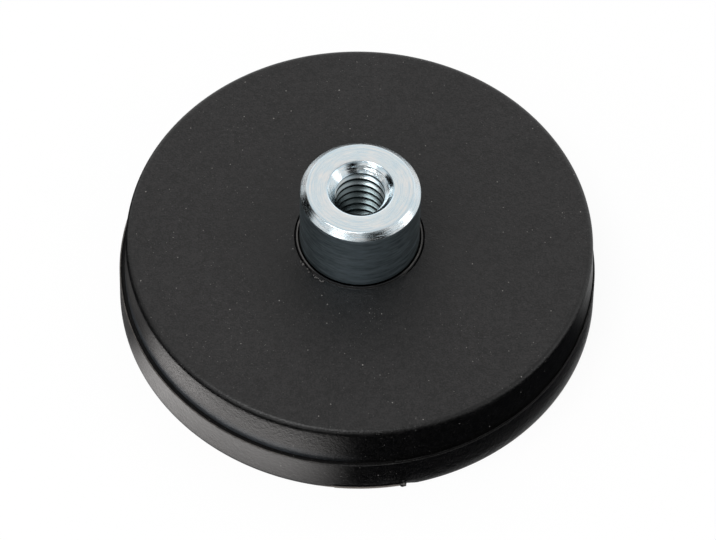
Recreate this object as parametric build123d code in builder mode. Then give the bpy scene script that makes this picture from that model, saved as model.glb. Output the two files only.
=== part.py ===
# Rubber-coated pot magnet with a tapped bush, in millimetres.
#
# The origin is the centre of the magnetic holding face and +Z runs up the bush's axis.
# Disc magnets lie under a steel yoke plate, the bush is swaged into the plate, and a
# rubber jacket is moulded round them all in one shot.
from build123d import *
import os
from math import cos, radians, sin, tan

# Rubber jacket: two mould halves meet at the top of the lower band. The lower half sat a
# little off the bush's axis, so the groove and the lip are wider on one side.
top_diameter = 31.2
wall_draft = 3.0
top_edge_radius = 0.4
band_height = 2.75
band_draft = 1.0
parting_groove_width = 0.14
parting_groove_depth = 0.16
band_lip_width = 0.09
band_lip_break = 0.04
foot_edge_break = 0.08
mould_offset = 0.12
mould_offset_azimuth = -156.0

# Rubber left between the inserts and the outside.
jacket_wall = 2.1
holding_skin = 0.6
top_cover = 1.2

# Collar of rubber left by the mould's shut-off round the bush.
shutoff_gap = 0.1
shutoff_depth = 0.35
collar_width = 0.24
collar_crest_width = 0.1
collar_height = 0.08

# Scar where the moulding gate was torn off the foot of the band.
gate_azimuth = -85.3
gate_inset = 0.3
gate_scar_height = 0.45
gate_film = 0.1
gate_film_reach = 0.08
gate_nub_azimuth = -78.9
gate_nub_width = 0.45
gate_nub_reach = 0.2

# Disc magnets, in a ring under the yoke plate and set in from its edge.
magnet_count = 4
magnet_diameter = 9.0
magnet_thickness = 2.4
magnet_edge_break = 0.2
magnet_inset = 1.0

# Yoke plate, blanked from sheet.
yoke_thickness = 1.8
yoke_edge_break = 0.3

# Bush, turned from bar and swaged into the yoke plate.
bush_diameter = 8.0
bush_projection = 5.5
bush_chamfer = 0.45
spigot_diameter = 6.0
swage_width = 0.4

# M4 thread, drilled to its minor diameter and stopped short of the bush's foot.
thread_minor_diameter = 3.3
mouth_diameter = 4.45
drill_point_angle = 118.0
bore_floor = 1.0

# Levels, from the holding face upwards.
yoke_underside = holding_skin + magnet_thickness
yoke_top = yoke_underside + yoke_thickness
jacket_height = yoke_top + top_cover
bush_top = jacket_height + bush_projection

# Radii, from the axis outwards.
bore_radius = thread_minor_diameter / 2
mouth_radius = mouth_diameter / 2
spigot_radius = spigot_diameter / 2
bush_radius = bush_diameter / 2
collar_inner_radius = bush_radius + shutoff_gap
collar_outer_radius = collar_inner_radius + collar_width
collar_slope = (collar_width - collar_crest_width) / 2
top_radius = top_diameter / 2
yoke_radius = top_radius - jacket_wall
magnet_radius = magnet_diameter / 2
magnet_ring_radius = yoke_radius - magnet_inset - magnet_radius
wall_foot_radius = top_radius + (jacket_height - band_height) * tan(radians(wall_draft))
groove_outer_radius = wall_foot_radius + parting_groove_width
band_top_radius = groove_outer_radius + band_lip_width
band_radius = band_top_radius + band_height * tan(radians(band_draft))
groove_floor = band_height - parting_groove_depth

# Axis of the lower mould half.
offset_x = mould_offset * cos(radians(mould_offset_azimuth))
offset_y = mould_offset * sin(radians(mould_offset_azimuth))
lower_axis = Axis((offset_x, offset_y, 0), (0, 0, 1))
lower_plane = Plane(origin=(offset_x, offset_y, 0), x_dir=(1, 0, 0), z_dir=(0, -1, 0))

os.makedirs("parts", exist_ok=True)


def on_foot(azimuth, radius):
    """Plane on the holding face, at a radius from the band's axis, with local X outwards."""
    turn = radians(azimuth)
    out = (cos(turn), sin(turn), 0)
    spot = (offset_x + radius * out[0], offset_y + radius * out[1], 0)
    return Plane(origin=spot, x_dir=out, z_dir=(0, 0, 1))


# --- Bush as turned, before it is drilled: the plate and the jacket close on this form ---
with BuildPart() as bush_blank:
    with BuildSketch(Plane.XZ):
        with BuildLine():
            Polyline(
                (0, yoke_underside),
                (spigot_radius + swage_width, yoke_underside),
                (spigot_radius, yoke_underside + swage_width),
                (spigot_radius, yoke_top),
                (bush_radius, yoke_top),
                (bush_radius, bush_top),
                (0, bush_top),
                close=True,
            )
        make_face()
    revolve(axis=Axis.Z)
    chamfer(bush_blank.edges().group_by(Axis.Z)[-1], length=bush_chamfer)

# --- Threaded bush: the blank with a blind drilled hole and a countersunk mouth ---
with BuildPart() as threaded_bush:
    add(bush_blank.part)
    bore_tip = yoke_underside + bore_floor
    drill_point = bore_radius / tan(radians(drill_point_angle / 2))
    with BuildSketch(Plane.XZ):
        with BuildLine():
            Polyline(
                (0, bush_top),
                (mouth_radius, bush_top),
                (bore_radius, bush_top - (mouth_radius - bore_radius)),
                (bore_radius, bore_tip + drill_point),
                (0, bore_tip),
                close=True,
            )
        make_face()
    revolve(axis=Axis.Z, mode=Mode.SUBTRACT)
threaded_bush.part.label = "threaded_bush"

# --- Yoke plate: a blanked disc with a broken top edge, countersunk for the swage ---
with BuildPart() as yoke_blank:
    with BuildSketch(Plane.XY.offset(yoke_underside)):
        Circle(yoke_radius)
    extrude(amount=yoke_thickness)
    chamfer(yoke_blank.edges().sort_by(Axis.Z)[-1], length=yoke_edge_break)

with BuildPart() as yoke_plate:
    add(yoke_blank.part)
    add(bush_blank.part, mode=Mode.SUBTRACT)
yoke_plate.part.label = "yoke_plate"

# --- Disc magnets: one is turned up with its edges broken, the rest are copies of it ---
with BuildPart() as magnet_form:
    with BuildSketch(Plane.XY.offset(holding_skin)):
        Circle(magnet_radius)
    extrude(amount=magnet_thickness)
    chamfer(magnet_form.edges().filter_by(GeomType.CIRCLE), length=magnet_edge_break)

magnets = []
ring = PolarLocations(magnet_ring_radius, magnet_count, start_angle=180 / magnet_count)
for number, place in enumerate(ring):
    with BuildPart() as magnet:
        with Locations(place):
            add(magnet_form.part)
    magnet.part.label = f"magnet_{number + 1}"
    magnets.append(magnet.part)

# --- Rubber jacket: one moulding, closed round the yoke, the magnets and the bush ---
with BuildPart() as rubber_jacket:
    # Upper mould half: the drafted wall, the flat top and the collar round the bush.
    with BuildSketch(Plane.XZ) as upper_section:
        with BuildLine():
            Polyline(
                (0, groove_floor),
                (wall_foot_radius, groove_floor),
                (top_radius, jacket_height),
                (collar_outer_radius, jacket_height),
                (collar_outer_radius - collar_slope, jacket_height + collar_height),
                (collar_inner_radius + collar_slope, jacket_height + collar_height),
                (collar_inner_radius, jacket_height),
                (collar_inner_radius, jacket_height - shutoff_depth),
                (0, jacket_height - shutoff_depth),
                close=True,
            )
        make_face()
        top_corner = upper_section.vertices().sort_by_distance((top_radius, jacket_height))[0]
        fillet(top_corner, radius=top_edge_radius)
    revolve(axis=Axis.Z)

    # Lower mould half: the band, its lip and the sloping side of the parting groove.
    with BuildSketch(lower_plane) as lower_section:
        with BuildLine():
            Polyline(
                (0, 0),
                (band_radius, 0),
                (band_top_radius, band_height),
                (groove_outer_radius, band_height),
                (wall_foot_radius, groove_floor),
                (0, groove_floor),
                close=True,
            )
        make_face()
        corners = lower_section.vertices()
        chamfer(corners.sort_by_distance((band_top_radius, band_height))[0], length=band_lip_break)
        chamfer(corners.sort_by_distance((band_radius, 0))[0], length=foot_edge_break)
    revolve(axis=lower_axis)

    # The gate left a film at the holding face, which reaches a little past the band.
    scar_plane = on_foot(gate_azimuth, band_radius - gate_inset)
    with BuildSketch(scar_plane):
        with Locations((gate_inset - band_radius, 0)):
            Circle(band_radius + gate_film_reach)
        Rectangle(band_radius, 2 * band_radius, align=(Align.MIN, Align.CENTER), mode=Mode.INTERSECT)
    extrude(amount=gate_film)

    # Above the film it tore a flat out of the band.
    with BuildSketch(scar_plane.offset(gate_film)):
        Rectangle(band_radius, 2 * band_radius, align=(Align.MIN, Align.CENTER))
    extrude(amount=gate_scar_height - gate_film, mode=Mode.SUBTRACT)

    # Beyond the nub the film is gone too.
    nub_side = band_radius * sin(radians(gate_nub_azimuth - gate_azimuth))
    with BuildSketch(scar_plane):
        with Locations((0, nub_side)):
            Rectangle(band_radius, band_radius, align=(Align.MIN, Align.MIN))
    extrude(amount=gate_film, mode=Mode.SUBTRACT)

    # The nub is the last shred of the gate's root.
    with BuildSketch(on_foot(gate_nub_azimuth, band_radius - gate_inset)):
        Rectangle(gate_inset + gate_nub_reach, gate_nub_width, align=(Align.MIN, Align.CENTER))
    extrude(amount=gate_scar_height)

    for insert in (bush_blank.part, yoke_blank.part, *magnets):
        add(insert, mode=Mode.SUBTRACT)
rubber_jacket.part.label = "rubber_jacket"

for piece in (rubber_jacket.part, threaded_bush.part, yoke_plate.part, *magnets):
    export_step(piece, f"parts/{piece.label}.step")
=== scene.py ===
"""Finish and detail of a rubber-coated pot magnet: the moulded jacket, the tapped bush and a pale stage."""
import random
from math import acos, atan2, cos, pi, radians, sin, tan, tau

import bpy
from bpy.props import FloatProperty, FloatVectorProperty, IntProperty, PointerProperty
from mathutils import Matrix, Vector


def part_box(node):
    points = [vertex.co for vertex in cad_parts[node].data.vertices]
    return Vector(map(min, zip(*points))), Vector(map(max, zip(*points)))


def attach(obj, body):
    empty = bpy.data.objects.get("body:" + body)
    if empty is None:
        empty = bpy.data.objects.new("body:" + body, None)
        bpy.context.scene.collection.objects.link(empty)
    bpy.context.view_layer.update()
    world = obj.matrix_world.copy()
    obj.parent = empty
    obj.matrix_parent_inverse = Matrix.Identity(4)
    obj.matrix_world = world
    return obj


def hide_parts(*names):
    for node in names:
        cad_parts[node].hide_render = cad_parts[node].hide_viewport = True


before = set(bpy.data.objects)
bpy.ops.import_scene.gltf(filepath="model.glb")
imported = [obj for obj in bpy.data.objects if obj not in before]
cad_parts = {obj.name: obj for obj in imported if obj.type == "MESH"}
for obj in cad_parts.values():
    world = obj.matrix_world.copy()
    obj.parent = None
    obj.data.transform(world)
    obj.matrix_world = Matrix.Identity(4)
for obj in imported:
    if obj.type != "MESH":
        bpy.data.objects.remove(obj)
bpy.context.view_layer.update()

bl_info = {
    "name": "Pot Magnet Workshop",
    "version": (1, 0, 0),
    "blender": (4, 5, 0),
    "location": "View3D > Sidebar > Pot Magnet",
    "description": "Moulds the jacket, turns and taps the bush, and sets a pale stage",
    "category": "Object",
}

MM = 0.001
JACKET_LOW, JACKET_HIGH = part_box("rubber_jacket")
BUSH_LOW, BUSH_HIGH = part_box("threaded_bush")
YOKE_LOW, YOKE_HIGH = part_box("yoke_plate")
BAND_FOOT = (JACKET_HIGH.x - JACKET_LOW.x) / 2
MAGNET_NODES = [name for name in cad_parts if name.startswith("magnet")]
YOKE_BREAK = 0.3 * MM
MAGNET_BREAK = 0.2 * MM
WELD = 0.001 * MM


# --- Sizes and colours that a user would change ---


def length(name, description, default):
    """A length property, in metres."""
    return FloatProperty(name=name, description=description, default=default, unit="LENGTH",
                         precision=6)


def angle(name, description, degrees):
    """An angle property, kept in radians and given in degrees."""
    return FloatProperty(name=name, description=description, default=radians(degrees), subtype="ANGLE")


def colour(name, description, default):
    """A linear colour property."""
    return FloatVectorProperty(name=name, description=description, default=default,
                               subtype="COLOR", min=0.0, max=1.0)


def share(name, description, default, top=1.0):
    """A plain number from nought upwards."""
    return FloatProperty(name=name, description=description, default=default, min=0.0, max=top)


class JacketSizes(bpy.types.PropertyGroup):
    """Sizes of the rubber moulding."""

    body_height: length("Body Height", "From the holding face to the flat top", 6.0 * MM)
    top_radius: length("Top Radius", "Radius of the upper wall at the flat top", 15.6 * MM)
    top_edge: length("Top Edge", "Rounding of the top edge", 0.4 * MM)
    wall_draft: angle("Wall Draft", "Draft of the upper wall", 3.0)
    band_height: length("Band Height", "Height of the lower band", 2.75 * MM)
    band_draft: angle("Band Draft", "Draft of the lower band", 1.0)
    groove_depth: length("Groove Depth", "Depth of the parting groove", 0.16 * MM)
    groove_width: length("Groove Width", "Width of the parting groove", 0.14 * MM)
    mould_offset: length("Mould Offset", "How far the lower mould half sat off the axis", 0.12 * MM)
    offset_way: angle("Offset Direction", "Direction in which the lower mould half sat off", -156.0)
    lip_round: length("Lip Rounding", "Rounding of the band's upper lip", 0.03 * MM)
    foot_round: length("Foot Rounding", "Rounding of the band's foot", 0.07 * MM)
    collar_width: length("Collar Width", "Width of the collar round the bush", 0.15 * MM)
    collar_height: length("Collar Height", "Height of the collar round the bush", 0.09 * MM)
    moat_width: length("Moat Width", "Width of the fine line outside the collar", 0.11 * MM)
    moat_depth: length("Moat Depth", "Depth of the fine line outside the collar", 0.13 * MM)
    shutoff_gap: length("Shut-off Gap", "Gap that the mould's shut-off left round the bush", 0.11 * MM)
    shutoff_depth: length("Shut-off Depth", "Depth of the shut-off's gap", 0.35 * MM)
    steps: IntProperty(name="Steps", description="Divisions round the jacket", default=540, min=60)


class FlashSizes(bpy.types.PropertyGroup):
    """Sizes of the trimmings that moulding left on the rubber."""

    fin_start: angle("Fin Start", "Azimuth where the fin at the parting line starts", -80.0)
    fin_end: angle("Fin End", "Azimuth where the fin at the parting line ends", 24.0)
    fin_height: length("Fin Height", "Height of the fin above the lip", 0.14 * MM)
    fin_wave: length("Fin Wave", "How far the fin's edge wanders", 0.13 * MM)
    lip_wave: length("Lip Wave", "How far the lip's edge wanders", 0.03 * MM)
    gate_azimuth: angle("Gate Azimuth", "Direction of the gate's scar", -85.3)
    gate_inset: length("Gate Inset", "How far the scar cuts into the band", 0.3 * MM)
    gate_height: length("Gate Height", "Height of the scar", 0.45 * MM)
    film: length("Film", "Film of rubber left under the scar", 0.1 * MM)
    film_start: angle("Film Start", "Angle from the scar's middle to the film's far end", 8.9)
    nub_azimuth: angle("Nub Azimuth", "Direction of the nub beside the scar", -78.0)
    nub_size: length("Nub Size", "Width of the nub", 0.42 * MM)
    crumbs: IntProperty(name="Crumbs", description="Crumbs of rubber left near the bush", default=15, min=0)


class BushSizes(bpy.types.PropertyGroup):
    """Sizes of the turned and tapped bush."""

    chamfer: length("Chamfer", "Chamfer of the outer edge", 0.45 * MM)
    edge_break: length("Edge Break", "Rounding left on the turned edges", 0.03 * MM)
    spigot_radius: length("Spigot Radius", "Radius of the spigot in the yoke", 3.0 * MM)
    swage: length("Swage", "Width of the swaged foot", 0.4 * MM)
    bore_radius: length("Bore Radius", "Minor radius of the thread", 1.65 * MM)
    mouth_radius: length("Mouth Radius", "Radius of the countersink", 2.225 * MM)
    mouth_round: length("Mouth Rounding", "Rounding between the face and the countersink", 0.14 * MM)
    bore_floor: length("Bore Floor", "Metal left under the drill's point", 1.0 * MM)
    drill_point: angle("Drill Point", "Included angle of the drill's point", 118.0)
    pitch: length("Pitch", "Pitch of the thread", 0.7 * MM)
    major_radius: length("Major Radius", "Radius at the thread's root", 2.0 * MM)
    thread_depth: length("Thread Depth", "Depth of full thread below the mouth", 6.0 * MM)
    steps: IntProperty(name="Steps", description="Divisions round the bush", default=180, min=36)


class Finishes(bpy.types.PropertyGroup):
    """Colours of rubber and metal."""

    rubber: colour("Rubber", "Black rubber", (0.0004, 0.0004, 0.0005))
    bloom: colour("Bloom", "Rubber under its bloom", (0.0150, 0.0141, 0.0145))
    dust: colour("Dust", "Specks of dust", (0.26, 0.25, 0.24))
    # Torn Rubber also carries painted highlights on the lip and the collar's crest.
    torn: colour("Torn Rubber", "Rubber where it is torn or rubbed", (0.085, 0.081, 0.078))
    # Film also carries a painted highlight on the lip's left side.
    film: colour("Film", "Thin film and lip of pale rubber", (0.19, 0.172, 0.158))
    # Sheen is a painted bluish reflection, not a bloom.
    painted_sheen: colour("Sheen", "Bluish bloom above the parting line", (0.062, 0.070, 0.080))
    zinc: colour("Zinc", "Bright zinc plate", (0.62, 0.68, 0.70))
    zinc_warm: colour("Warm Zinc", "Zinc plate where it turns warm", (0.70, 0.70, 0.69))
    zinc_blue: colour("Blue Zinc", "Zinc plate where it is bluest", (0.44, 0.57, 0.65))
    # Dull Zinc also carries painted shade down the bore and on the bush's side.
    dull_zinc_and_shade: colour("Dull Zinc", "Thin plate inside the tapped hole", (0.10, 0.125, 0.13))
    steel: colour("Steel", "Sheet steel of the yoke", (0.52, 0.53, 0.55))
    nickel: colour("Nickel", "Nickel plate of the magnets", (0.62, 0.60, 0.57))


class StageSettings(bpy.types.PropertyGroup):
    """Floor, light and camera."""

    floor_size: length("Floor Size", "Width of the floor", 2.4)
    floor_colour: colour("Floor", "Pale floor", (0.9, 0.9, 0.9))
    ambient: share("Ambient", "Light of the pale surroundings", 0.55)
    ceiling: share("Ceiling", "How light the ceiling is in a reflection", 0.30)
    wall: share("Wall", "How light the walls are in a reflection", 1.05, top=2.0)
    seen_white: share("Seen White", "Share of plain white in the floor as the camera sees it", 0.93)
    met_white: share("Met White", "Share of plain white in the floor as reflections see it", 0.3)
    place: FloatVectorProperty(name="Camera Place", description="Where the camera stands", subtype="XYZ",
                               unit="LENGTH", default=(-0.0525 * MM, -171.13 * MM, 252.838 * MM))
    elevation: angle("Elevation", "How steeply the camera looks down", 55.7)
    roll: angle("Roll", "Turn of the camera about its own line of sight", 1.2444)
    lens: FloatProperty(name="Lens", description="Focal length for a 36 mm wide image", default=226.257,
                        unit="CAMERA")


# --- Modelling helpers ---


def deselect():
    """Leaves edit mode and selects nothing."""
    if bpy.context.mode != "OBJECT":
        leave_edit()
    bpy.ops.object.select_all(action="DESELECT")


def take(piece):
    """Makes one piece the only one selected, and active."""
    deselect()
    piece.select_set(True)
    bpy.context.view_layer.objects.active = piece


def edit(piece, kind, test):
    """Enters edit mode on a piece with only those elements of a kind selected that pass a test."""
    take(piece)
    edit_all(kind)
    bpy.ops.mesh.select_all(action="DESELECT")
    leave_edit()
    mesh = piece.data
    for item in {"VERT": mesh.vertices, "EDGE": mesh.edges, "FACE": mesh.polygons}[kind]:
        item.select = test(item)
    bpy.ops.object.mode_set(mode="EDIT")


def edit_all(kind="VERT"):
    """Enters edit mode on the active piece with all of it selected."""
    bpy.ops.object.mode_set(mode="EDIT")
    bpy.ops.mesh.select_mode(type=kind)
    bpy.ops.mesh.select_all(action="SELECT")


def leave_edit():
    """Goes back to object mode."""
    bpy.ops.object.mode_set(mode="OBJECT")


def name_piece(name):
    """Names the object that was just added."""
    piece = bpy.context.object
    piece.name = piece.data.name = name
    return piece


def rest_at_origin(piece):
    """Puts the piece's place into its mesh."""
    take(piece)
    bpy.ops.object.transform_apply(location=True, rotation=True, scale=True)


def apply_modifier(piece, name, kind, **settings):
    """Adds a modifier with these settings and applies it."""
    take(piece)
    modifier = piece.modifiers.new(name, kind)
    for key, value in settings.items():
        setattr(modifier, key, value)
    bpy.ops.object.modifier_apply(modifier=modifier.name)


def cut(piece, tool, operation="DIFFERENCE"):
    """Cuts a piece with a tool, or welds the tool to it, and throws the tool away."""
    apply_modifier(piece, "Cut", "BOOLEAN", object=tool, operation=operation, solver="EXACT")
    bpy.data.objects.remove(tool)


def mark(piece, name, test):
    """Makes a vertex group of the vertices for whose place a test holds."""
    group = piece.vertex_groups.new(name=name)
    group.add([vertex.index for vertex in piece.data.vertices if test(vertex.co)], 1.0, "REPLACE")


def ripple(piece, name, size, strength, group="", direction="NORMAL"):
    """Moves a piece's vertices by a cloudy noise of that grain."""
    noise = bpy.data.textures.new(name, "CLOUDS")
    noise.noise_scale = size
    noise.noise_depth = 2
    apply_modifier(piece, name, "DISPLACE", texture=noise, texture_coords="LOCAL", strength=strength,
                   mid_level=0.5, vertex_group=group, direction=direction)


def smooth(piece):
    """Shades a piece smooth, apart from its sharp edges."""
    take(piece)
    bpy.ops.object.shade_smooth_by_angle(angle=radians(35))


def section(corners, arc_steps=6):
    """Points of a section from corners given as (radius, height, rounding, rows).

    A corner with a rounding becomes an arc, and the straight run up to it is divided into rows.
    """
    places = [Vector(corner[:2]) for corner in corners]
    points = [places[0]]
    for index in range(1, len(corners)):
        corner, (rounding, rows) = places[index], corners[index][2:]
        arc = [corner]
        if rounding:
            into = (corner - places[index - 1]).normalized()
            out = (places[index + 1] - corner).normalized()
            turn_angle = acos(max(-1.0, min(1.0, into.dot(out))))
            side = 1.0 if into.cross(out) > 0 else -1.0
            start = corner - into * rounding * tan(turn_angle / 2)
            centre = start + side * rounding * Vector((-into.y, into.x))
            arm = start - centre
            arc = []
            for step in range(arc_steps + 1):
                swing = side * turn_angle * step / arc_steps
                turned = Vector((arm.x * cos(swing) - arm.y * sin(swing),
                                 arm.x * sin(swing) + arm.y * cos(swing)))
                arc.append(centre + turned)
        begin = points[-1]
        for row in range(1, rows):
            points.append(begin.lerp(arc[0], row / rows))
        points.extend(arc)
    return points


def weld_skin(fill_ends=False):
    """Merges the doubles of the active piece, fills its ends if asked and turns its faces outwards."""
    edit_all()
    bpy.ops.mesh.remove_doubles(threshold=WELD)
    if fill_ends:
        bpy.ops.mesh.select_all(action="DESELECT")
        bpy.ops.mesh.select_non_manifold()
        bpy.ops.mesh.fill_holes(sides=0)
        bpy.ops.mesh.select_all(action="SELECT")
    bpy.ops.mesh.normals_make_consistent(inside=False)
    leave_edit()


def spin_up(name, points, steps):
    """Draws a section as a chain of vertices and spins it round the Z axis into a closed skin."""
    deselect()
    bpy.ops.mesh.primitive_plane_add(size=MM, location=(0, 0, 0))
    piece = name_piece(name)
    edit_all()
    bpy.ops.mesh.merge(type="CENTER")
    bpy.ops.transform.translate(value=(points[0].x, 0, points[0].y))
    for before, after in zip(points, points[1:]):
        move = after - before
        bpy.ops.mesh.extrude_vertices_move(TRANSFORM_OT_translate={"value": (move.x, 0, move.y)})
    leave_edit()
    apply_modifier(piece, "Turned", "SCREW", axis="Z", angle=tau, steps=steps, render_steps=steps)
    weld_skin()
    return piece


def finish_piece(piece, node, finish):
    """Dresses a new piece, hangs it under the root body and hides the part that it stands for."""
    piece.data.materials.clear()
    piece.data.materials.append(finish)
    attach(piece, "root")
    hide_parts(node)


# --- Shader arithmetic ---


class Wire:
    """An output socket on which Python's arithmetic adds Math nodes."""

    def __init__(self, tree, socket):
        self.tree = tree
        self.socket = socket

    def __add__(self, other):
        return self.tree.maths("ADD", self, other)

    __radd__ = __add__

    def __sub__(self, other):
        return self.tree.maths("SUBTRACT", self, other)

    def __rsub__(self, other):
        return self.tree.maths("SUBTRACT", other, self)

    def __mul__(self, other):
        return self.tree.maths("MULTIPLY", self, other)

    __rmul__ = __mul__

    def __truediv__(self, other):
        return self.tree.maths("DIVIDE", self, other)

    def __pow__(self, other):
        return self.tree.maths("POWER", self, other)

    def __abs__(self):
        return self.tree.maths("ABSOLUTE", self)

    def between(self, low, high):
        """0 at low and 1 at high, eased, and held there outside them."""
        return self.tree.node("ShaderNodeMapRange", {"interpolation_type": "SMOOTHSTEP"},
                              {"Value": self, "From Min": low, "From Max": high})


class Tree:
    """The node tree of a material or of the world."""

    def __init__(self, owner):
        owner.use_nodes = True
        self.nodes = owner.node_tree.nodes
        self.links = owner.node_tree.links
        self.nodes.clear()

    def node(self, kind, settings=None, values=None, output=0):
        """Adds a node: its settings first, then the values or wires of its sockets."""
        made = self.nodes.new(kind)
        for key, value in (settings or {}).items():
            setattr(made, key, value)
        for key, value in (values or {}).items():
            if isinstance(value, Wire):
                self.links.new(value.socket, made.inputs[key])
            else:
                made.inputs[key].default_value = value
        if isinstance(output, tuple):
            return [Wire(self, made.outputs[name]) for name in output]
        return Wire(self, made.outputs[output]) if made.outputs else made

    def maths(self, operation, *values):
        """A Math node on wires and numbers."""
        return self.node("ShaderNodeMath", {"operation": operation}, dict(enumerate(values)))

    def blend(self, amount, one, other):
        """A colour between two, by a mask."""
        return self.node("ShaderNodeMix", {"data_type": "RGBA"}, {0: amount, 6: one, 7: other}, output=2)

    def noise(self, place, size, detail=2.0, roughness=0.5):
        """A cloudy pattern whose grain has that size."""
        return self.node("ShaderNodeTexNoise", {},
                         {"Vector": place, "Scale": 1 / size, "Detail": detail, "Roughness": roughness})

    def lines(self, along, size):
        """A pattern of lines across a length, as a tool's feed leaves them."""
        return self.node("ShaderNodeTexNoise", {"noise_dimensions": "1D"},
                         {"W": along / size, "Scale": 1.0, "Detail": 3.0, "Roughness": 0.6})

    def specks(self, place, spacing, size):
        """Small specks, of many sizes up to one, strewn through a piece."""
        distance, tint = self.node("ShaderNodeTexVoronoi", {"distance": "MINKOWSKI"},
                                   {"Vector": place, "Scale": 1 / spacing, "Exponent": 0.8},
                                   output=("Distance", "Color"))
        draw = self.node("ShaderNodeSeparateColor", {}, {"Color": tint})
        reach = draw * draw * (size / spacing)
        return ((reach - distance) / (0.5 * size / spacing)).between(0.0, 1.0)

    def vector(self, x, y, z):
        """A vector from its three parts."""
        return self.node("ShaderNodeCombineXYZ", {}, {"X": x, "Y": y, "Z": z})

    def place(self, kind="Object"):
        """The piece's own coordinates, or the sky's directions, and their three parts."""
        spot = self.node("ShaderNodeTexCoord", output=kind)
        return spot, *self.node("ShaderNodeSeparateXYZ", {}, {"Vector": spot}, output=("X", "Y", "Z"))

    def rays(self):
        """Whether the camera sees a ray's end directly, and whether a reflection or glass shows it."""
        camera, glossy, through = self.node("ShaderNodeLightPath", output=(
            "Is Camera Ray", "Is Glossy Ray", "Is Transmission Ray"))
        return camera, glossy + through

    def bump(self, height, depth, normal=None):
        """A normal that follows a height of that depth, in metres."""
        values = {"Height": height, "Distance": depth}
        if normal:
            values["Normal"] = normal
        return self.node("ShaderNodeBump", {}, values)


def new_finish(name):
    """A new material and its tree."""
    material = bpy.data.materials.new(name)
    return material, Tree(material)


def coat(tree, values):
    """Ends a tree in a Principled shader with these sockets."""
    shader = tree.node("ShaderNodeBsdfPrincipled", {}, values)
    tree.node("ShaderNodeOutputMaterial", {}, {"Surface": shader})


def rgb(value):
    """A colour property as a socket takes it."""
    return (*value, 1.0)


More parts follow.
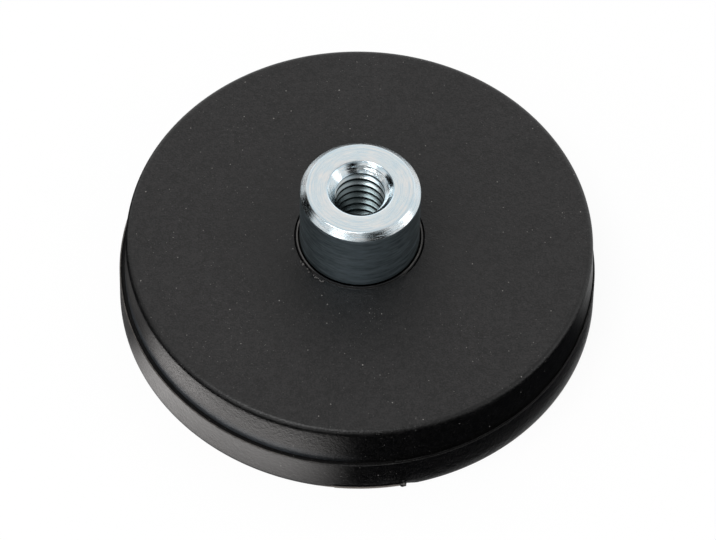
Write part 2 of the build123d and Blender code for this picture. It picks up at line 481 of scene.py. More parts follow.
def rubber_finish(colours, jacket, flash):
    """Matt black rubber: a faint bloom, grain, strewn dust, one shallow crease and paler torn edges, with
    painted shade in the gate's scar, in the gap round the bush and in front of the bush, a painted sheen
    above the parting line and painted highlights on the lip and the collar's crest.
    """
    material, tree = new_finish("moulded_rubber")
    spot, x, y, z = tree.place()
    middle = lower_centre(jacket)
    radius = (x * x + y * y) ** 0.5
    lower_radius = ((x - middle.x) ** 2 + (y - middle.y) ** 2) ** 0.5
    top, parting = jacket.body_height, jacket.band_height
    drift = tree.noise(spot, 4.5 * MM, detail=3.0)
    mottle = tree.noise(spot, 0.7 * MM, detail=4.0, roughness=0.7)
    pebble = tree.noise(spot, 0.28 * MM, roughness=0.6)
    grain = tree.noise(spot, 0.12 * MM, detail=1.0, roughness=0.6)

    # Bloom: full on the flat top and thinnest on the sides; it thins near the bush as painted shade from the
    # bush.
    on_top = z.between(top - 0.015 * MM, top - 0.002 * MM)
    bloom_and_bush_shade = 0.25 + on_top * (0.25 + radius.between(4.5 * MM, 12 * MM) * 0.4)
    bloomed = 0.46 + (grain - 0.5) * 2.8 + (pebble - 0.5) * 1.8
    bloomed = bloomed + (mottle - 0.5) * 1.2 + (drift - 0.5) * 0.5
    body = tree.blend(bloomed.between(-0.25, 1.25) * bloom_and_bush_shade, rgb(colours.rubber), rgb(colours.bloom))

    # Painted sheen: a bluish reflection painted as a belt above the parting line, on the left half, where
    # light falls.
    leftward = ((y * -0.4 - x) / radius).between(0.32, 0.8)
    belt = z.between(parting + 0.02 * MM, parting + 0.05 * MM)
    belt = belt * (1 - z.between(parting + 0.45 * MM, parting + 1.1 * MM))
    body = tree.blend(belt * leftward * (0.15 + mottle * 0.8), body, rgb(colours.painted_sheen))

    # The lip and the groove beside it, which meet at the inner edge of the lip.
    lip_inner = wall_foot(jacket) + jacket.groove_width
    past_groove = lower_radius.between(lip_inner - 0.01 * MM, lip_inner + 0.01 * MM)
    lip = past_groove * z.between(parting - 0.03 * MM, parting - 0.005 * MM)
    lip = lip * (1 - z.between(parting + 0.25 * MM, parting + 0.3 * MM))
    groove_floor = parting - jacket.groove_depth
    groove = (1 - past_groove) * z.between(groove_floor - 0.02 * MM, groove_floor)
    groove = groove * (1 - z.between(parting - 0.03 * MM, parting - 0.01 * MM))

    # The torn gate: a pale film at the foot, a scar over it painted dark as the shade under the band's
    # overhang, and a nub at its end.
    film_middle, film_half, nub_side = -0.9 * MM, 2.7 * MM, 2.1 * MM
    across = x * -sin(flash.gate_azimuth) + y * cos(flash.gate_azimuth)
    near_gate = 1 - abs(across - film_middle).between(film_half, film_half + 0.1 * MM)
    near_gate = near_gate * (y * -1).between(0.7 * BAND_FOOT, 0.75 * BAND_FOOT)
    film = near_gate * lower_radius.between(BAND_FOOT - 0.11 * MM, BAND_FOOT - 0.06 * MM)
    film = film * (1 - z.between(flash.film + 0.005 * MM, flash.film + 0.02 * MM))
    scar = near_gate * (1 - z.between(flash.gate_height - 0.06 * MM, flash.gate_height))
    scar = scar * lower_radius.between(BAND_FOOT - 0.6 * MM, BAND_FOOT - 0.5 * MM)
    scar = scar * (1 - lower_radius.between(BAND_FOOT - 0.14 * MM, BAND_FOOT - 0.09 * MM))
    nub = 1 - abs(across - nub_side).between(0.3 * MM, 0.4 * MM)
    nub = nub * lower_radius.between(BAND_FOOT + 0.02 * MM, BAND_FOOT + 0.05 * MM)

    # Round the bush: the gap, painted dark as its shade, the collar's crest with a painted highlight, and
    # the crumbs outside it.
    gap_edge = BUSH_HIGH.x + jacket.shutoff_gap
    collar_edge = gap_edge + jacket.collar_width
    gap = (1 - radius.between(gap_edge - 0.01 * MM, gap_edge + 0.02 * MM)) * z.between(0.8 * top, 0.85 * top)
    # Painted highlight: the crest is paler at the bush's left and right.
    crest = z.between(top + 0.5 * jacket.collar_height, top + 0.9 * jacket.collar_height)
    crest = crest * (1 - radius.between(collar_edge, collar_edge + 0.02 * MM))
    crest = crest * (abs(x) / radius).between(0.55, 0.9)
    crumbs = radius.between(collar_edge + 0.06 * MM, collar_edge + 0.1 * MM)
    crumbs = crumbs * z.between(top + 0.01 * MM, top + 0.03 * MM)

    # Torn rubber on the nub and the crumbs; on the lip and the collar's crest this paler colour is also a
    # painted highlight.
    torn = lip * 0.14 + nub * grain.between(0.45, 0.62) * 1.6 + crest * 0.8 + crumbs * 1.8
    body = tree.blend((torn * (0.4 + mottle)).between(0.0, 1.0), body, rgb(colours.torn))
    # The film's own pale rubber, and a painted highlight on the lip's left side.
    pale = film + lip * leftward * mottle * 0.8
    body = tree.blend(pale.between(0.0, 1.0), body, rgb(colours.film))
    # Painted shade: near black in the scar under the band's overhang and in the gap round the bush.
    painted_shade = scar + gap
    body = tree.blend(painted_shade.between(0.0, 1.0), body, rgb(colours.rubber))

    # Dust: a fuzz of fine specks that comes and goes, and a few larger ones.
    fuzz = tree.specks(spot, 0.14 * MM, 0.065 * MM) * (0.35 + drift.between(0.40, 0.60) * 0.65)
    body = tree.blend(fuzz * 0.36, body, rgb(colours.dust))
    body = tree.blend(tree.specks(spot, 0.40 * MM, 0.10 * MM) * 0.8, body, rgb(colours.dust))

    # One shallow crease in the top: part of a ring about a point near the bush.
    crease_x, crease_y, crease_radius = 0.6 * MM, 2.3 * MM, 6.08 * MM
    off_ring = ((x - crease_x) ** 2 + (y - crease_y) ** 2) ** 0.5 - crease_radius
    crease = 1 - abs(off_ring).between(0.0, 0.16 * MM)
    crease = crease * (1 - abs(y - crease_y).between(1.0 * MM, 2.3 * MM))
    crease = crease * x.between(2.0 * MM, 4.0 * MM) * on_top

    grained = tree.bump(grain + pebble * 1.6 + mottle * 1.5, 0.016 * MM)
    creased = tree.bump(crease, 0.02 * MM, grained)
    coat(tree, {
        "Base Color": body,
        "Roughness": 0.28 + mottle * 0.1 + grain * 0.1 + on_top * 0.14 + (groove + painted_shade) * 0.45,
        "Specular IOR Level": 0.33,
        "Normal": creased,
    })
    return material


def zinc_finish(colours, bush):
    """Turned steel under bright zinc plate: satin face, streaky chamfers, a bluer side with painted shade
    and a painted dark foot, a bore of duller plate with painted shade deeper down.
    """
    material, tree = new_finish("turned_zinc_plate")
    spot, x, y, z = tree.place()
    radius = (x * x + y * y) ** 0.5
    top, bore_radius = BUSH_HIGH.z, bush.bore_radius

    # Lines of the tool's feed run on over face, chamfer and side; streaks are long round the bush.
    along = radius - z * 0.37
    feed = tree.lines(along, 0.035 * MM)
    bands = tree.lines(along, 0.22 * MM)
    round_about = tree.vector(x / radius * (4 * MM), y / radius * (4 * MM), along * 14)
    streaks = tree.noise(round_about, 1.1 * MM, detail=4.0, roughness=0.6)
    cloud = tree.noise(spot, 1.3 * MM, detail=4.0, roughness=0.6)
    pits = tree.noise(spot, 0.09 * MM, roughness=0.6)

    face = z.between(top - 0.03 * MM, top - 0.01 * MM)
    side = radius.between(BUSH_HIGH.x - 0.03 * MM, BUSH_HIGH.x - 0.01 * MM)
    bore = 1 - radius.between(bore_radius + 0.35 * MM, bore_radius + 0.45 * MM)
    bore = bore * (1 - z.between(top - 0.95 * MM, top - 0.65 * MM))
    slopes = (1 - face) * (1 - side) * (1 - bore)

    body = tree.blend(cloud.between(0.38, 0.66), rgb(colours.zinc), rgb(colours.zinc_warm))
    body = tree.blend(side * 0.8, body, rgb(colours.zinc_blue))
    stained = (bands * 0.6 + streaks * 0.6).between(0.48, 0.74)
    body = tree.blend(stained * 0.75, body, rgb(colours.zinc_blue))

    # The plate is dull down the bore; painted shade darkens it further with depth, in the thread's root and
    # on its crest.
    root = radius.between(bore_radius + 0.10 * MM, bore_radius + 0.30 * MM)
    crest = 1 - radius.between(bore_radius + 0.005 * MM, bore_radius + 0.02 * MM)
    depth = 1 - z.between(top - 4.0 * MM, top - 0.6 * MM)
    # Painted shade: darker with depth, in the root and on the crest, over the thin plate's dullness.
    bore_dull_and_shade = bore * (0.45 + 0.75 * depth + 0.4 * root + 0.3 * crest)
    body = tree.blend(bore_dull_and_shade.between(0.0, 1.0), body, rgb(colours.dull_zinc_and_shade))

    # Painted shade: the side is darkened towards dull zinc, more at its left and right and in streaks, and
    # its foot is painted near black as the shadow in the rubber's gap.
    shade = side * (0.25 + abs(x) / radius * 0.45 + (streaks - 0.45) * 1.2 + (bands - 0.5) * 0.6)
    body = tree.blend(shade.between(0.0, 1.1), body, rgb(colours.dull_zinc_and_shade))
    foot = side * (1 - z.between(JACKET_HIGH.z + 0.01 * MM, JACKET_HIGH.z + 0.05 * MM))
    body = tree.blend(foot, body, rgb(colours.rubber))

    lines = tree.bump(feed, 0.0010 * MM)
    banded = tree.bump(bands, 0.0030 * MM, lines)
    streaked = tree.bump(streaks * (0.35 + slopes), 0.012 * MM, banded)
    pitted = tree.bump(pits, 0.0006 * MM, streaked)
    satin = face * (0.10 + feed * 0.08) + side * (0.2 + streaks * 0.1) + bore * 0.1
    coat(tree, {
        "Base Color": body,
        "Metallic": 1.0 - side * (0.02 + streaks * 0.10),
        "Roughness": 0.12 + satin + cloud * 0.05,
        "Normal": pitted,
    })
    return material


def yoke_finish(colours):
    """Blanked sheet steel with rolling marks."""
    material, tree = new_finish("blanked_sheet_steel")
    spot, x = tree.place()[:2]
    rolling = tree.lines(x, 0.12 * MM)
    stain = tree.noise(spot, 3.0 * MM, detail=4.0)
    body = tree.blend(stain * 0.5, rgb(colours.steel), rgb(colours.zinc))
    coat(tree, {
        "Base Color": body,
        "Metallic": 1.0,
        "Roughness": 0.30 + rolling * 0.2,
        "Normal": tree.bump(rolling, 0.002 * MM),
    })
    return material


def nickel_finish(colours):
    """Sintered magnet under nickel plate, slightly pebbled."""
    material, tree = new_finish("nickel_plate")
    spot = tree.place()[0]
    pebble = tree.noise(spot, 0.25 * MM, detail=3.0)
    tone = tree.blend(pebble.between(0.3, 0.7) * 0.4, rgb(colours.nickel), rgb(colours.steel))
    coat(tree, {
        "Base Color": tone,
        "Metallic": 1.0,
        "Roughness": 0.14 + pebble * 0.14,
        "Normal": tree.bump(pebble, 0.003 * MM),
    })
    return material


# --- The jacket ---


def wall_foot(sizes):
    """Radius of the upper wall at the parting line."""
    return sizes.top_radius + (sizes.body_height - sizes.band_height) * tan(sizes.wall_draft)


def band_top(sizes):
    """Radius of the band at its lip."""
    return BAND_FOOT - sizes.band_height * tan(sizes.band_draft)


def lower_centre(sizes):
    """Centre of the lower mould half."""
    return sizes.mould_offset * Vector((cos(sizes.offset_way), sin(sizes.offset_way), 0))


def jacket_section(sizes):
    """The moulding's section, from the middle of its underside, over the top, into the yoke's pocket."""
    top = sizes.body_height
    lip = band_top(sizes)
    lip_inner = wall_foot(sizes) + sizes.groove_width
    bush_radius = BUSH_HIGH.x
    collar_inner = bush_radius + sizes.shutoff_gap
    collar_outer = collar_inner + sizes.collar_width
    crest = top + sizes.collar_height
    outer_slope, inner_slope = 0.3 * sizes.collar_width, 0.14 * sizes.collar_width
    fillet = 0.2 * sizes.collar_height
    corners = [
        (0, 0, 0, 1),
        (BAND_FOOT, 0, sizes.foot_round, 14),
        (lip, sizes.band_height, sizes.lip_round, 14),
        ((lip + lip_inner) / 2, sizes.band_height, 0, 1),
        (lip_inner, sizes.band_height, 0, 1),
        (wall_foot(sizes), sizes.band_height - sizes.groove_depth, 0, 3),
        (sizes.top_radius, top, sizes.top_edge, 16),
        (collar_outer + sizes.moat_width, top, 0, 30),
        (collar_outer + sizes.moat_width / 2, top, 0, 1),
        (collar_outer, top, 0, 1),
        (collar_outer - outer_slope, crest, fillet, 1),
        (collar_inner + inner_slope, crest, fillet, 1),
        (collar_inner, top, fillet, 1),
        (collar_inner, top - sizes.shutoff_depth, 0, 2),
        (bush_radius, top - sizes.shutoff_depth, 0, 1),
        (bush_radius, YOKE_HIGH.z, 0, 2),
        (YOKE_HIGH.x - YOKE_BREAK, YOKE_HIGH.z, 0, 6),
        (YOKE_HIGH.x, YOKE_HIGH.z - YOKE_BREAK, 0, 1),
        (YOKE_HIGH.x, YOKE_LOW.z, 0, 1),
        (0, YOKE_LOW.z, 0, 6),
    ]
    return section(corners)


def azimuth(place):
    """The direction of a place round the axis."""
    return atan2(place.y, place.x)


def sink_moat(piece, jacket):
    """Sinks the fine line outside the collar, which is deepest at the bush's left and right."""
    middle = BUSH_HIGH.x + jacket.shutoff_gap + jacket.collar_width + jacket.moat_width / 2
    group = piece.vertex_groups.new(name="moat")
    for vertex in piece.data.vertices:
        radius = vertex.co.xy.length
        if abs(radius - middle) < 0.1 * jacket.moat_width and vertex.co.z > jacket.body_height - 0.01 * MM:
            sideways = (abs(vertex.co.x) / radius - 0.6) / 0.3
            group.add([vertex.index], max(0.1, min(1.0, sideways)), "REPLACE")
    apply_modifier(piece, "Moat", "DISPLACE", strength=-jacket.moat_depth, mid_level=0.0,
                   vertex_group="moat", direction="Z")


def raise_fin(piece, jacket, flash):
    """Draws the inner half of the lip up into the fin that the mould's halves left between them."""
    inner = wall_foot(jacket) + jacket.groove_width
    middle = (inner + band_top(jacket)) / 2

    def on_land(face):
        place = face.center
        level = abs(place.z - jacket.band_height) < WELD
        within = flash.fin_start < azimuth(place) < flash.fin_end
        return level and within and inner < place.xy.length < middle

    edit(piece, "FACE", on_land)
    for rise in (0.45, 0.55):
        bpy.ops.mesh.extrude_region_move(
            TRANSFORM_OT_translate={"value": (0, 0, rise * flash.fin_height)})
    leave_edit()
    above = jacket.band_height + 0.3 * flash.fin_height
    below = jacket.band_height + 1.2 * flash.fin_height
    slack, side_slack = 0.01 * MM, 0.02

    def on_fin(place):
        between = inner - slack < place.xy.length < middle + slack and above < place.z < below
        return between and flash.fin_start - side_slack < azimuth(place) < flash.fin_end + side_slack

    mark(piece, "fin", on_fin)
    ripple(piece, "fin_height", 0.9 * MM, flash.fin_wave, "fin", "Z")
    ripple(piece, "fin_lean", 0.6 * MM, 0.4 * flash.fin_wave, "fin")


def roughen_lip(piece, jacket, flash):
    """Lets the lip's edge wander as trimmed flash does."""
    near_edge = band_top(jacket) - 2 * jacket.lip_round

    def on_lip(place):
        return abs(place.z - jacket.band_height) < 1.5 * jacket.lip_round and place.xy.length > near_edge

    mark(piece, "lip", on_lip)
    ripple(piece, "lip_edge", 0.7 * MM, flash.lip_wave, "lip", "Z")
    ripple(piece, "lip_edge_fine", 0.25 * MM, 0.4 * flash.lip_wave, "lip", "Z")


def shift_lower_half(piece, jacket):
    """Moves all below the parting line off the axis, as the lower mould half sat."""
    lower = wall_foot(jacket) + 0.01 * MM
    edit(piece, "VERT", lambda vertex: vertex.co.z < WELD or vertex.co.xy.length > lower)
    bpy.ops.transform.translate(value=lower_centre(jacket))
    leave_edit()


def block(name, centre, size, turn_by, rough, grain=0.1 * MM):
    """A block with torn faces: a cube, divided and displaced."""
    deselect()
    bpy.ops.mesh.primitive_cube_add(size=1, location=centre, rotation=(0, 0, turn_by), scale=size)
    piece = name_piece(name)
    rest_at_origin(piece)
    edit_all()
    bpy.ops.mesh.subdivide(number_cuts=11)
    leave_edit()
    ripple(piece, name, grain, rough)
    return piece


def lump(name, centre, size, grain, rough):
    """A rounded shred of rubber: a ball, flattened and displaced."""
    deselect()
    bpy.ops.mesh.primitive_ico_sphere_add(subdivisions=4, radius=0.5, location=centre, scale=size)
    piece = name_piece(name)
    rest_at_origin(piece)
    ripple(piece, name, grain, rough)
    return piece


def tear_gate(piece, jacket, flash):
    """Tears the gate off the foot of the band: a scar over a thin film, and a nub at its end."""
    middle = lower_centre(jacket)
    way, nub_way = flash.gate_azimuth, flash.nub_azimuth
    out = Vector((cos(way), sin(way), 0))
    across = Vector((-out.y, out.x, 0))
    face = BAND_FOOT - flash.gate_inset
    depth, span = 1.2 * MM, 9.0 * MM
    height = flash.gate_height - flash.film
    centre = middle + out * (face + depth / 2) + Vector((0, 0, flash.film + height / 2))
    cut(piece, block("gate_scar", centre, (depth, span, height), way, rough=0.03 * MM))

    nub_side = BAND_FOOT * sin(nub_way - way)
    below = 0.2 * MM
    centre = middle + out * (face + depth / 2) + across * (nub_side + span / 4)
    centre.z = (flash.film - below) / 2 + 0.02 * MM
    size = (depth, span / 2, flash.film + below)
    cut(piece, block("film_end", centre, size, way, rough=0.02 * MM))

    deselect()
    clear = 0.002 * MM
    bpy.ops.mesh.primitive_cylinder_add(
        vertices=360, radius=BAND_FOOT, depth=flash.film - 2 * clear,
        location=middle + Vector((0, 0, flash.film / 2)))
    film = name_piece("gate_film")
    rest_at_origin(film)
    left_side = -BAND_FOOT * sin(flash.film_start)
    strip = face - 0.2 * MM
    outer = BAND_FOOT + 0.3 * MM
    centre = middle + out * (strip + outer) / 2 + across * (left_side + nub_side) / 2
    size = (outer - strip, nub_side - left_side, 4 * flash.film)
    trim = block("film_trim", centre, size, way, rough=0.06 * MM, grain=0.5 * MM)
    cut(film, trim, "INTERSECT")
    cut(piece, film, "UNION")

    nub_out = Vector((cos(nub_way), sin(nub_way), 0))
    nub = flash.nub_size
    centre = middle + nub_out * (BAND_FOOT + 0.03 * MM) + Vector((0, 0, 0.58 * nub))
    cut(piece, lump("gate_nub", centre, (nub, nub, nub), grain=0.16 * MM, rough=0.16 * MM), "UNION")
    centre = middle + nub_out * (BAND_FOOT + 0.02 * MM) + Vector((0, 0, 1.35 * nub))
    size = (0.55 * nub, 0.5 * nub, 0.45 * nub)
    cut(piece, lump("gate_pit", centre, size, grain=0.1 * MM, rough=0.06 * MM))


def sink_pockets(piece):
    """Sinks a pocket for each magnet, from the yoke's pocket down."""
    overlap = 0.2 * MM
    pockets = []
    for name in MAGNET_NODES:
        low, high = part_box(name)
        deselect()
        bpy.ops.mesh.primitive_cylinder_add(
            vertices=72, radius=(high.x - low.x) / 2, depth=high.z - low.z + overlap,
            location=((low.x + high.x) / 2, (low.y + high.y) / 2, (low.z + high.z + overlap) / 2))
        pocket = name_piece(name + "_pocket")
        rest_at_origin(pocket)
        places = pocket.data.vertices
        edit(pocket, "EDGE", lambda edge: all(places[i].co.z < low.z + WELD for i in edge.vertices))
        bpy.ops.mesh.bevel(offset=MAGNET_BREAK, segments=1)
        leave_edit()
        pockets.append(pocket)
    take(pockets[0])
    for pocket in pockets[1:]:
        pocket.select_set(True)
    bpy.ops.object.join()
    cut(piece, pockets[0])


def strew_crumbs(jacket, flash):
    """Crumbs of torn rubber near the bush: one is modelled, the rest are copies of it."""
    deselect()
    crumb_radius = 0.075 * MM
    bpy.ops.mesh.primitive_ico_sphere_add(subdivisions=2, radius=crumb_radius, location=(0, 0, 0))
    crumb = name_piece("crumb")
    ripple(crumb, "crumb", 0.08 * MM, 0.05 * MM)
    from_azimuth, to_azimuth = -152, -118
    nearest, farthest = 0.36, 0.50
    draw = random.Random(7)
    copies = []
    for _ in range(flash.crumbs):
        way = radians(draw.uniform(from_azimuth, to_azimuth))
        radius = BUSH_HIGH.x + draw.uniform(nearest, farthest) * MM
        copy = crumb.copy()
        copy.data = crumb.data.copy()
        bpy.context.scene.collection.objects.link(copy)
        copy.location = (radius * cos(way), radius * sin(way), jacket.body_height + 0.01 * MM)
        copy.rotation_euler = (0, 0, draw.uniform(0, tau))
        copy.scale = (draw.uniform(0.5, 1.3), draw.uniform(0.5, 1.0), draw.uniform(0.35, 0.6))
        rest_at_origin(copy)
        copies.append(copy)
    bpy.data.objects.remove(crumb)
    return copies


class MouldJacket(bpy.types.Operator):
    """Mould the rubber jacket with its parting groove, fin, collar and gate scar"""

    bl_idname = "pot_magnet.mould_jacket"
    bl_label = "Mould Jacket"
    bl_options = {"REGISTER", "UNDO"}

    def execute(self, context):
        jacket = context.scene.jacket_sizes
        flash = context.scene.flash_sizes
        piece = spin_up("jacket_moulding", jacket_section(jacket), jacket.steps)
        sink_moat(piece, jacket)
        raise_fin(piece, jacket, flash)
        roughen_lip(piece, jacket, flash)
        shift_lower_half(piece, jacket)
        sink_pockets(piece)
        tear_gate(piece, jacket, flash)
        crumbs = strew_crumbs(jacket, flash)
        take(piece)
        for crumb in crumbs:
            crumb.select_set(True)
        bpy.ops.object.join()
        smooth(piece)
        finish = rubber_finish(context.scene.magnet_finishes, jacket, flash)
        finish_piece(piece, "rubber_jacket", finish)
        return {"FINISHED"}


# --- The bush ---


def bush_section(sizes):
    """The bush's section, from the middle of its foot, over the mouth, down to the drill's point."""
    radius, top, foot = BUSH_HIGH.x, BUSH_HIGH.z, BUSH_LOW.z
    rounding = sizes.edge_break
    sink = sizes.mouth_radius - sizes.bore_radius
    tip = foot + sizes.bore_floor
    corners = [
        (0, foot, 0, 1),
        (sizes.spigot_radius + sizes.swage, foot, 0, 4),
        (sizes.spigot_radius, foot + sizes.swage, 0, 1),
        (sizes.spigot_radius, YOKE_HIGH.z, 0, 1),
        (radius, YOKE_HIGH.z, 0, 1),
        (radius, top - sizes.chamfer, rounding, 12),
        (radius - sizes.chamfer, top, rounding, 3),
        (sizes.mouth_radius, top, sizes.mouth_round, 6),
        (sizes.bore_radius, top - sink, 0, 2),
        (sizes.bore_radius, tip + sizes.bore_radius / tan(sizes.drill_point / 2), 0, 1),
        (0, tip, 0, 2),
    ]
    return section(corners, arc_steps=4)


def thread_tool(sizes):
    """The path of a sixty-degree tool down the bore: its tip's section, carried round a helix."""
    flank = tan(radians(30))
    crest = sizes.pitch / 16
    inner = sizes.bore_radius - 0.15 * MM
    outer = sizes.major_radius
    half = crest + (outer - inner) * flank
    tip = section([
        (inner, -half, 0, 1),
        (outer, -crest, 0.03 * MM, 1),
        (outer, crest, 0.03 * MM, 1),
        (inner, half, 0, 1),
    ], arc_steps=2)
    deselect()
    bpy.ops.mesh.primitive_circle_add(vertices=len(tip), radius=MM, fill_type="NOTHING")
    tool = name_piece("thread_tool")
    run_out = 0.4 * MM
    start = BUSH_HIGH.z - sizes.thread_depth
    turns = int((BUSH_HIGH.z + run_out - start) / sizes.pitch) + 1
    for vertex, point in zip(tool.data.vertices, tip):
        vertex.co = (point.x, 0, start + point.y)
    apply_modifier(tool, "Helix", "SCREW", axis="Z", angle=tau, screw_offset=sizes.pitch,
                   iterations=turns, steps=sizes.steps, render_steps=sizes.steps)
    weld_skin(fill_ends=True)
    return tool


class TurnBush(bpy.types.Operator):
    """Turn the bush, drill and countersink it, and cut its thread"""

    bl_idname = "pot_magnet.turn_bush"
    bl_label = "Turn and Tap Bush"
    bl_options = {"REGISTER", "UNDO"}

    def execute(self, context):
        sizes = context.scene.bush_sizes
        piece = spin_up("bush_turning", bush_section(sizes), sizes.steps)
        cut(piece, thread_tool(sizes))
        smooth(piece)
        finish = zinc_finish(context.scene.magnet_finishes, sizes)
        finish_piece(piece, "threaded_bush", finish)
        return {"FINISHED"}


# --- The inserts ---


class FinishInserts(bpy.types.Operator):
    """Give the yoke plate and the magnets inside the rubber their finishes"""

    bl_idname = "pot_magnet.finish_inserts"
    bl_label = "Finish Inserts"
    bl_options = {"REGISTER", "UNDO"}

    def execute(self, context):
        colours = context.scene.magnet_finishes
        finishes = {"yoke_plate": yoke_finish(colours)}
        nickel = nickel_finish(colours)
        for name in MAGNET_NODES:
            finishes[name] = nickel
        for name, finish in finishes.items():
            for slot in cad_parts[name].material_slots:
                slot.material = finish
        return {"FINISHED"}


# --- The stage ---

RING_INNER = 16.22 * MM
RING_OUTER = 450 * MM
RING_LEVEL = 0.04 * MM
LAMP_DISTANCE = 0.5


def direction(way, rise):
    """Unit vector at an azimuth and an elevation, both in degrees."""
    way, rise = radians(way), radians(rise)
    return Vector((cos(way) * cos(rise), sin(way) * cos(rise), sin(rise)))


def softbox(name, way, rise, width, height, level, tint=(1, 1, 1)):
    """A softbox whose face has that level of white, at a direction from the part."""
    lamp = bpy.data.lights.new(name, "AREA")
    lamp.shape = "RECTANGLE"
    lamp.size, lamp.size_y = width, height
    lamp.energy = level * pi * width * height
    lamp.color = tint
    holder = bpy.data.objects.new(name, lamp)
    bpy.context.scene.collection.objects.link(holder)
    holder.location = direction(way, rise) * LAMP_DISTANCE
    holder.rotation_euler = direction(way, rise).to_track_quat("Z", "Y").to_euler()
    holder.visible_camera = False


def lay_reflection_ring(finish):
    """A glowing ring that lies on the floor round the part and that only reflections meet, with painted
    floor shadow and a painted bright patch.
    """
    deselect()
    bpy.ops.mesh.primitive_circle_add(vertices=96, radius=RING_INNER, location=(0, 0, RING_LEVEL))
    piece = name_piece("painted_reflection_ring")
    rest_at_origin(piece)
    edit_all()
    grow = RING_OUTER / RING_INNER
    bpy.ops.mesh.extrude_edges_move()
    bpy.ops.transform.resize(value=(grow, grow, 1), center_override=(0, 0, 0))
    leave_edit()
    piece.data.materials.append(finish)
    piece.visible_camera = False
    piece.visible_shadow = False
    piece.visible_diffuse = False
    piece.visible_transmission = False


def floor_finish(stage):
    """Pale floor: plain white where it is seen, with the part's shadow left in it."""
    material, tree = new_finish("pale_floor")
    camera, mirrored = tree.rays()
    white = camera * stage.seen_white + mirrored * stage.met_white
    paper = tree.node("ShaderNodeBsdfDiffuse", {}, {"Color": rgb(stage.floor_colour)})
    glow = tree.node("ShaderNodeEmission", {}, {"Color": (1, 1, 1, 1), "Strength": 1.0})
    mixed = tree.node("ShaderNodeMixShader", {}, {0: white, 1: paper, 2: glow})
    tree.node("ShaderNodeOutputMaterial", {}, {"Surface": mixed})
    return material


def reflection_ring_finish():
    """Glowing ring: near black in front and towards the far left as painted shade, white behind, with a
    painted bright sheet close to the part at the left.
    """
    material, tree = new_finish("painted_reflection_ring")
    x, y = tree.place()[1:3]
    radius = (x * x + y * y) ** 0.5

    def towards(way):
        """Cosine of the angle between a place's azimuth and this one."""
        aim = direction(way, 0)
        return (x * aim.x + y * aim.y) / radius

    # Painted shade and light for reflections: near black in front and towards the far left, a bright sheet
    # near the part at the left.
    black = 1 - (1 - towards(-88).between(-0.24, 0.29)) * (1 - towards(168).between(0.70, 0.94))
    sheet = towards(-127).between(0.79, 0.98) + towards(-162).between(0.85, 1.0) * 0.1
    sheet = sheet * (1 - radius.between(18.6 * MM, 20.8 * MM))
    near = 1 - radius.between(16.6 * MM, 18.0 * MM)
    tone = tree.blend(black, (0.95, 0.95, 0.95, 1), (0.006, 0.007, 0.009, 1))
    lit = tree.blend(sheet * (1 - near * 0.35), tone, (3.3, 3.2, 3.15, 1))
    glow = tree.node("ShaderNodeEmission", {}, {"Color": lit, "Strength": 1.0})
    tree.node("ShaderNodeOutputMaterial", {}, {"Surface": glow})
    return material


def light_surroundings(stage):
    """White walls with dark openings, a grey ceiling, and a plain level of light on the part."""
    world = bpy.data.worlds.new("pale_room")
    bpy.context.scene.world = world
    tree = Tree(world)
    camera, mirrored = tree.rays()
    x, y, z = tree.place("Generated")[1:]

    def opening(way, rise, inner, outer):
        """0 within the inner angle of a direction and 1 past the outer one."""
        aim = direction(way, rise)
        return 1 - (x * aim.x + y * aim.y + z * aim.z).between(cos(radians(outer)), cos(radians(inner)))

    low_front = z.between(sin(radians(12)), sin(radians(19))) + y.between(-0.55, 0.05)
    wall = low_front.between(0.0, 1.0) * opening(-62, 24, 15, 24) * opening(169, 11, 14, 24)
    below = 1 - z.between(sin(radians(36)), sin(radians(46)))
    roof = stage.ceiling * (1 + x.between(0.25, 0.65) * 3.0)
    met = roof + below * (wall * (1 + y.between(0.3, 0.8) * 0.45) * stage.wall - roof)
    strength = camera + mirrored * met + (1 - (camera + mirrored)) * stage.ambient
    sky = tree.node("ShaderNodeBackground", {}, {"Color": (1, 1, 1, 1), "Strength": strength})
    tree.node("ShaderNodeOutputWorld", {}, {"Surface": sky})


def place_camera(stage):
    """Camera that looks down at the part from the front."""
    camera = bpy.data.objects.new("camera", bpy.data.cameras.new("camera"))
    bpy.context.scene.collection.objects.link(camera)
    camera.data.lens = stage.lens
    camera.data.clip_start, camera.data.clip_end = 0.01, 10.0
    camera.location = stage.place
    camera.rotation_mode = "ZYX"
    camera.rotation_euler = (pi / 2 - stage.elevation, 0, stage.roll)
    bpy.context.scene.camera = camera


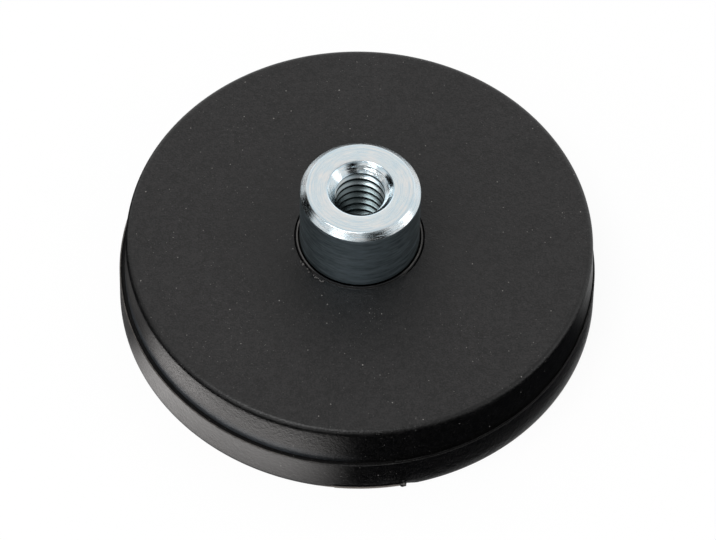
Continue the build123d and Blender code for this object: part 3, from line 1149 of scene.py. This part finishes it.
class SetStage(bpy.types.Operator):
    """Set the pale floor, the soft light and the camera"""

    bl_idname = "pot_magnet.set_stage"
    bl_label = "Set Stage"
    bl_options = {"REGISTER", "UNDO"}

    def execute(self, context):
        stage = context.scene.stage_settings
        context.scene.view_settings.view_transform = "Standard"
        deselect()
        bpy.ops.mesh.primitive_plane_add(size=stage.floor_size, location=(0, 0, 0))
        floor = name_piece("floor")
        floor.data.materials.append(floor_finish(stage))
        light_surroundings(stage)
        softbox("back_softbox", 92, 56, 0.40, 0.30, 0.74, (1.0, 0.97, 0.95))
        softbox("left_key", -138, 68, 0.28, 0.22, 7.0)
        softbox("front_left_softbox", -126, 32, 0.18, 0.14, 1.5)
        softbox("right_softbox", -6, 20, 0.16, 0.14, 1.6)
        lay_reflection_ring(reflection_ring_finish())
        place_camera(stage)
        return {"FINISHED"}


# --- Panel and registration ---


class PotMagnetPanel(bpy.types.Panel):
    """Steps that make the pot magnet"""

    bl_idname = "VIEW3D_PT_pot_magnet"
    bl_label = "Pot Magnet"
    bl_space_type = "VIEW_3D"
    bl_region_type = "UI"
    bl_category = "Pot Magnet"

    def draw(self, context):
        for step in STEPS:
            self.layout.operator(step.bl_idname)
        for name in GROUPS:
            box = self.layout.box()
            settings = getattr(context.scene, name)
            for key in settings.__annotations__:
                box.prop(settings, key)


GROUPS = {
    "jacket_sizes": JacketSizes,
    "flash_sizes": FlashSizes,
    "bush_sizes": BushSizes,
    "magnet_finishes": Finishes,
    "stage_settings": StageSettings,
}
STEPS = (MouldJacket, TurnBush, FinishInserts, SetStage)


def register():
    """Registers the groups, the steps and the panel."""
    for group in GROUPS.values():
        bpy.utils.register_class(group)
    for step in (*STEPS, PotMagnetPanel):
        bpy.utils.register_class(step)
    for name, group in GROUPS.items():
        setattr(bpy.types.Scene, name, PointerProperty(type=group))


def unregister():
    """Takes all of it away again, in the reverse order."""
    for name in GROUPS:
        delattr(bpy.types.Scene, name)
    for step in (PotMagnetPanel, *reversed(STEPS)):
        bpy.utils.unregister_class(step)
    for group in GROUPS.values():
        bpy.utils.unregister_class(group)


def main():
    """Makes the part step by step."""
    register()
    bpy.ops.pot_magnet.mould_jacket()
    bpy.ops.pot_magnet.turn_bush()
    bpy.ops.pot_magnet.finish_inserts()
    bpy.ops.pot_magnet.set_stage()


if __name__ == "__main__":
    main()
